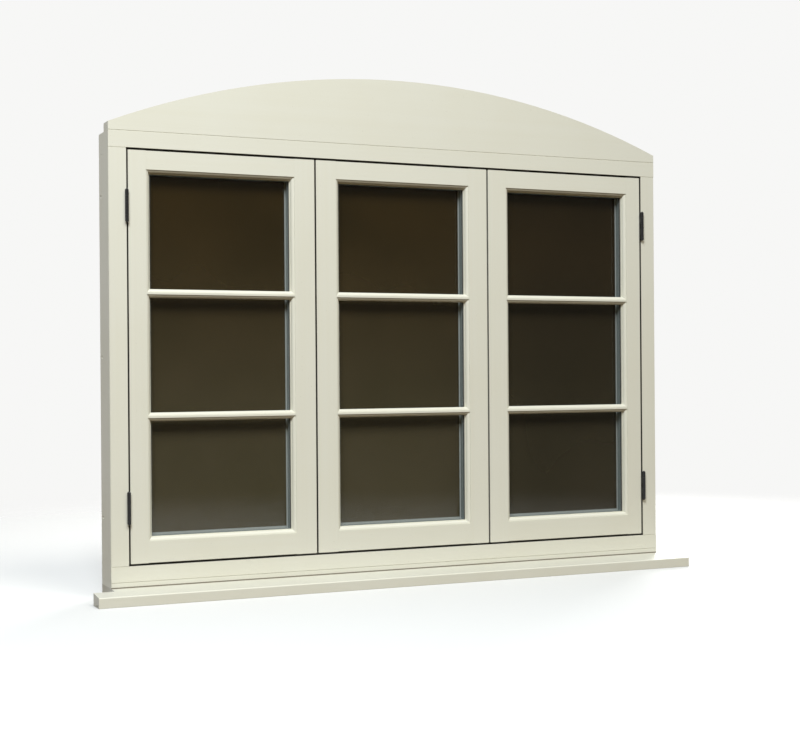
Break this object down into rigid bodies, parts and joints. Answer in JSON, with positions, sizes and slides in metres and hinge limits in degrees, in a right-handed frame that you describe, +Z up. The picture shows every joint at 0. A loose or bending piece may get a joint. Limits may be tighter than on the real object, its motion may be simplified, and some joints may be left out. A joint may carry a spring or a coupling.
{
  "type": "casement window",
  "caption": "Flush timber window with an arched head board, projecting sill, glazed side casements on butt hinges and a fixed middle sash",
  "frame": {"origin": "middle of the window's width, at the plane of its outside face, on the sill's underside", "axes": "+Z up, +Y into the room, +X to the right seen from outside"},
  "size_m": [1.65, 0.181, 1.3014],
  "materials": {
    "paint": "cream satin paint on timber",
    "bare_timber": "planed hardwood",
    "glass": "clear sealed unit",
    "spacer_bar": "matt grey spacer",
    "block_plastic": "black plastic",
    "seal_rubber": "black seal",
    "black_iron": "black enamelled iron",
    "screw_steel": "dark plated steel"
  },
  "bodies": {
    "frame": {"head": "paint", "frame_bottom_rail": "paint", "jamb_left": "paint", "jamb_right": "paint", "mullion_left": "paint", "mullion_right": "paint", "sill": "paint", "arch_board": "paint", "arch_tongue": "bare_timber", "weather_seals": "seal_rubber", "frame_screws": "screw_steel", "hinge_frame_leaves": "black_iron", "hinge_pins": "black_iron", "hardware_screws": "screw_steel", "fastener_keeps": "black_iron", "stay_pegs": "black_iron", "centre_stile_left": "paint", "centre_stile_right": "paint", "centre_top_rail": "paint", "centre_bottom_rail": "paint", "centre_bar_lower": "paint", "centre_bar_upper": "paint", "centre_beads": "paint", "centre_panes": "glass", "centre_spacer": "spacer_bar", "centre_setting_blocks": "block_plastic"},
    "left_casement": {"left_stile_hinge": "paint", "left_stile_meeting": "paint", "left_top_rail": "paint", "left_bottom_rail": "paint", "left_bar_lower": "paint", "left_bar_upper": "paint", "left_beads": "paint", "left_panes": "glass", "left_spacer": "spacer_bar", "left_setting_blocks": "block_plastic", "left_hinge_leaves": "black_iron", "left_screws": "screw_steel", "left_fastener_plate": "black_iron", "left_stay_bracket": "black_iron"},
    "left_handle": {"left_fastener_handle": "black_iron"},
    "left_stay": {"left_stay_arm": "black_iron"},
    "right_casement": {"right_stile_hinge": "paint", "right_stile_meeting": "paint", "right_top_rail": "paint", "right_bottom_rail": "paint", "right_bar_lower": "paint", "right_bar_upper": "paint", "right_beads": "paint", "right_panes": "glass", "right_spacer": "spacer_bar", "right_setting_blocks": "block_plastic", "right_hinge_leaves": "black_iron", "right_screws": "screw_steel", "right_fastener_plate": "black_iron", "right_stay_bracket": "black_iron"},
    "right_handle": {"right_fastener_handle": "black_iron"},
    "right_stay": {"right_stay_arm": "black_iron"}
  },
  "joints": [
    {"name": "right_casement_hinge", "type": "hinge", "parent": "frame", "child": "right_casement", "pos_m": [0.732, -0.006, 0.586], "axis": [0, 0, 1], "range_deg": [0, 90]},
    {"name": "right_fastener_turn", "type": "hinge", "parent": "right_casement", "child": "right_handle", "pos_m": [0.294, 0.07, 0.56], "axis": [0, 1, 0], "range_deg": [0, 90]},
    {"name": "right_stay_swing", "type": "hinge", "parent": "right_casement", "child": "right_stay", "pos_m": [0.632, 0.071, 0.1225], "axis": [0, 0, -1], "range_deg": [0, 90]},
    {"name": "left_casement_hinge", "type": "hinge", "parent": "frame", "child": "left_casement", "pos_m": [-0.732, -0.006, 0.586], "axis": [0, 0, -1], "range_deg": [0, 90]},
    {"name": "left_fastener_turn", "type": "hinge", "parent": "left_casement", "child": "left_handle", "pos_m": [-0.294, 0.07, 0.56], "axis": [0, -1, 0], "range_deg": [0, 90]},
    {"name": "left_stay_swing", "type": "hinge", "parent": "left_casement", "child": "left_stay", "pos_m": [-0.632, 0.071, 0.1225], "axis": [0, 0, 1], "range_deg": [0, 90]}
  ]
}
